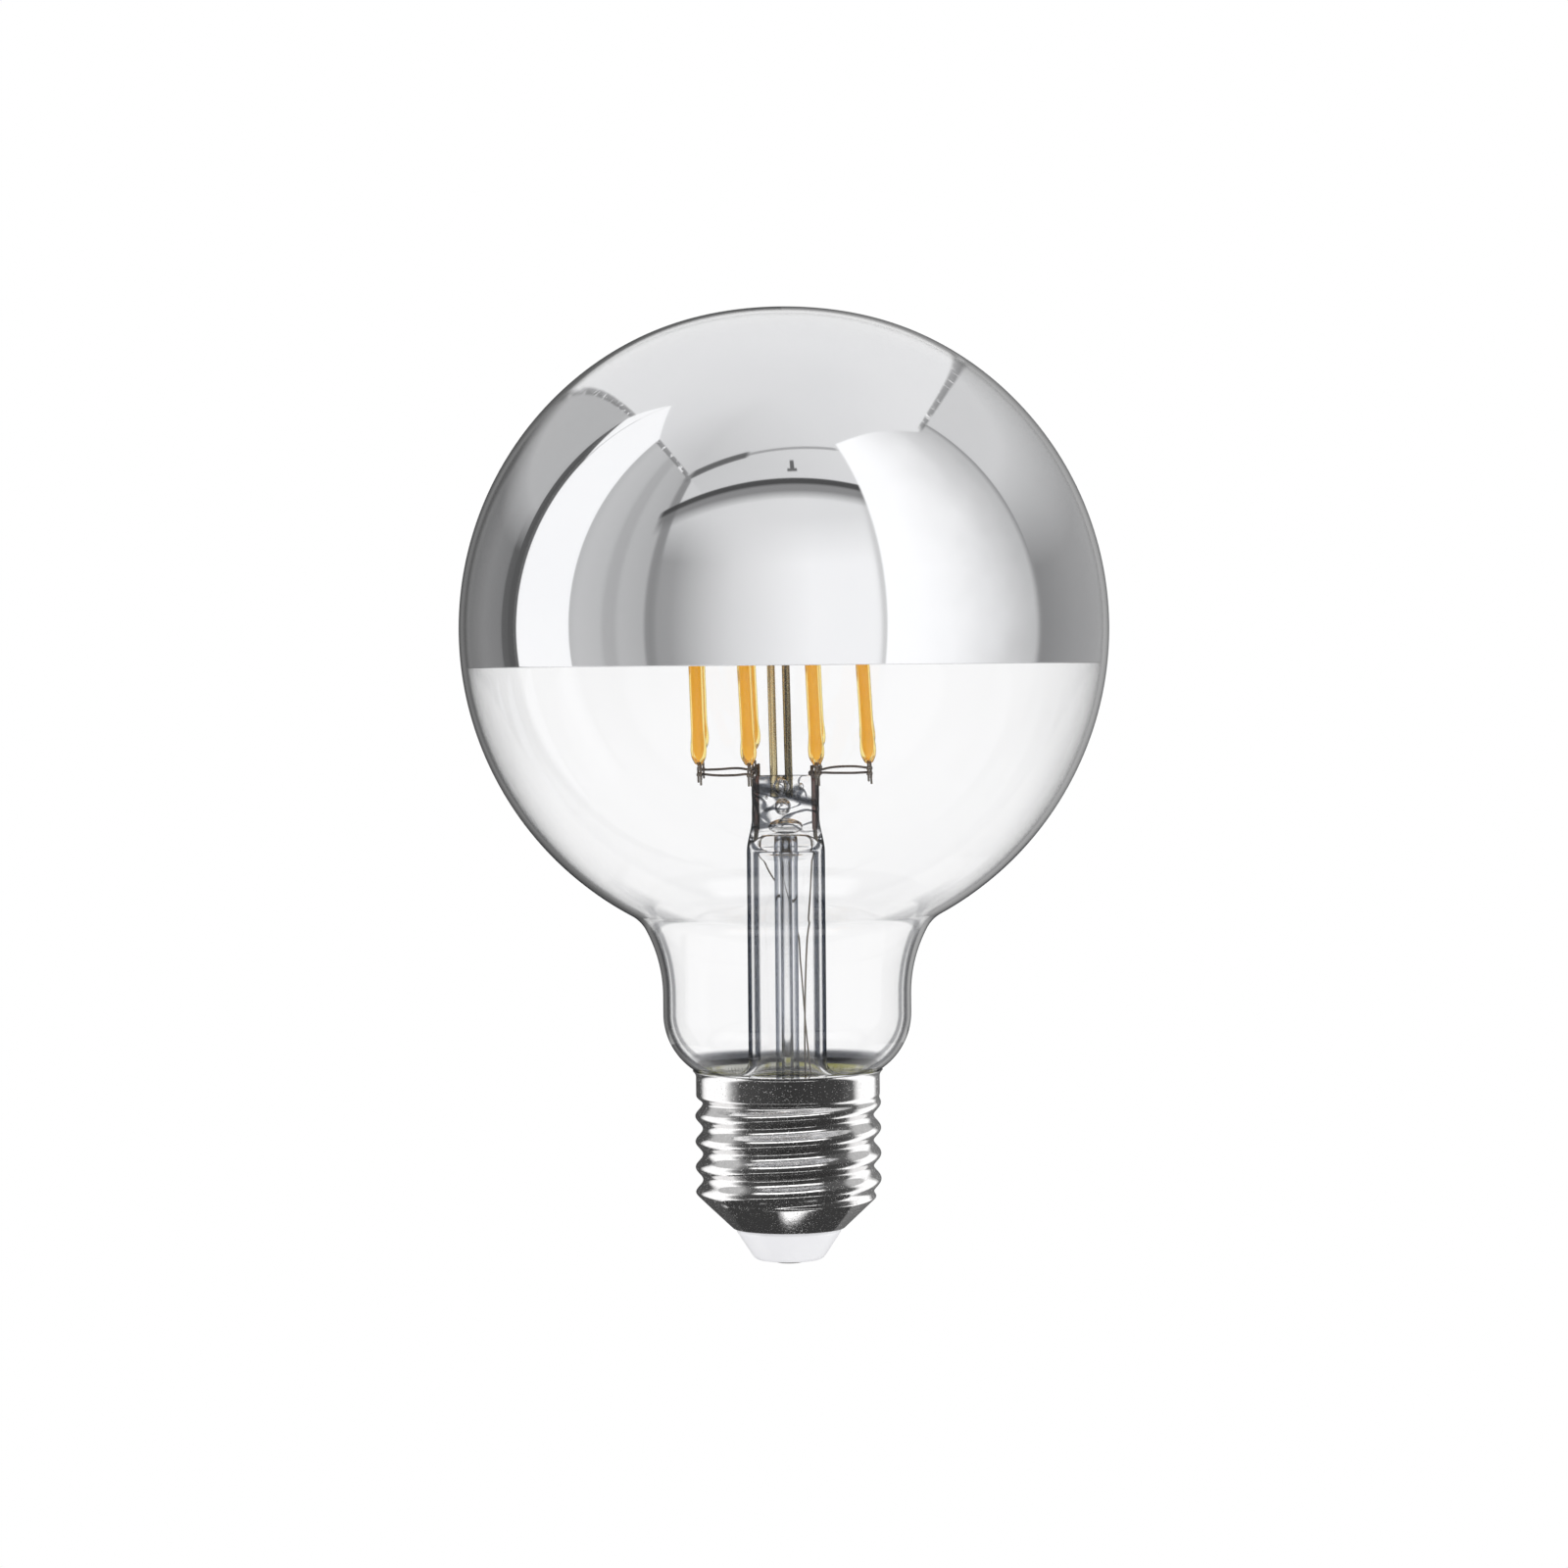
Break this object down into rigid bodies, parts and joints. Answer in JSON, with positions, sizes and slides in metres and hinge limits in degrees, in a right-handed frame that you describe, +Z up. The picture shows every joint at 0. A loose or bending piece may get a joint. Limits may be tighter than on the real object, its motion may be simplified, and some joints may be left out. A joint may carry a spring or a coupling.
{
  "type": "silver crown bulb",
  "caption": "Globe lamp with a mirrored upper half, a clear lower half with amber LED filaments on a glass stem, and an E27 screw cap.",
  "frame": {"origin": "tip of the centre contact, on the lamp's axis", "axes": "+Z up along the lamp's axis from the cap to the mirrored crown; +X to the right in the picture's view; the lamp is held by its screw cap"},
  "size_m": [0.0918, 0.0918, 0.1353],
  "materials": {
    "clear_glass": "polished",
    "mirror": "vapour-deposited film",
    "stem_glass": "polished",
    "lead_wire": "drawn",
    "support_wire": "drawn",
    "phosphor": "satin silicone",
    "tab_metal": "stamped",
    "cap_metal": "nickel plated",
    "insulator": "satin",
    "contact_metal": "nickel plated",
    "cement": "cured resin",
    "board": "solder mask",
    "capacitor": "sleeved can",
    "chip": "moulded",
    "resistor": "lacquered",
    "hookup": "insulated wire"
  },
  "bodies": {
    "root": {"envelope": "clear_glass", "crown_mirror": "mirror", "stem_flare": "stem_glass", "exhaust_tube": "stem_glass", "lead_wire_left": "lead_wire", "lead_wire_right": "lead_wire", "support_rod_left": "support_wire", "support_rod_right": "support_wire", "filament_1": "phosphor", "filament_2": "phosphor", "filament_3": "phosphor", "filament_4": "phosphor", "filament_5": "phosphor", "filament_6": "phosphor", "filament_7": "phosphor", "filament_8": "phosphor", "filament_tabs_1": "tab_metal", "filament_tabs_2": "tab_metal", "filament_tabs_3": "tab_metal", "filament_tabs_4": "tab_metal", "filament_tabs_5": "tab_metal", "filament_tabs_6": "tab_metal", "filament_tabs_7": "tab_metal", "filament_tabs_8": "tab_metal", "lower_carrier_left_front": "support_wire", "lower_carrier_left_rear": "support_wire", "lower_carrier_right_front": "support_wire", "lower_carrier_right_rear": "support_wire", "upper_ring": "support_wire", "screw_shell": "cap_metal", "cap_insulator": "insulator", "centre_contact": "contact_metal", "basing_cement": "cement", "driver_board": "board", "smoothing_capacitor": "capacitor", "bridge_rectifier": "chip", "driver_chip": "chip", "fusible_resistor": "resistor", "contact_wire": "hookup", "shell_wire": "hookup"}
  },
  "joints": []
}
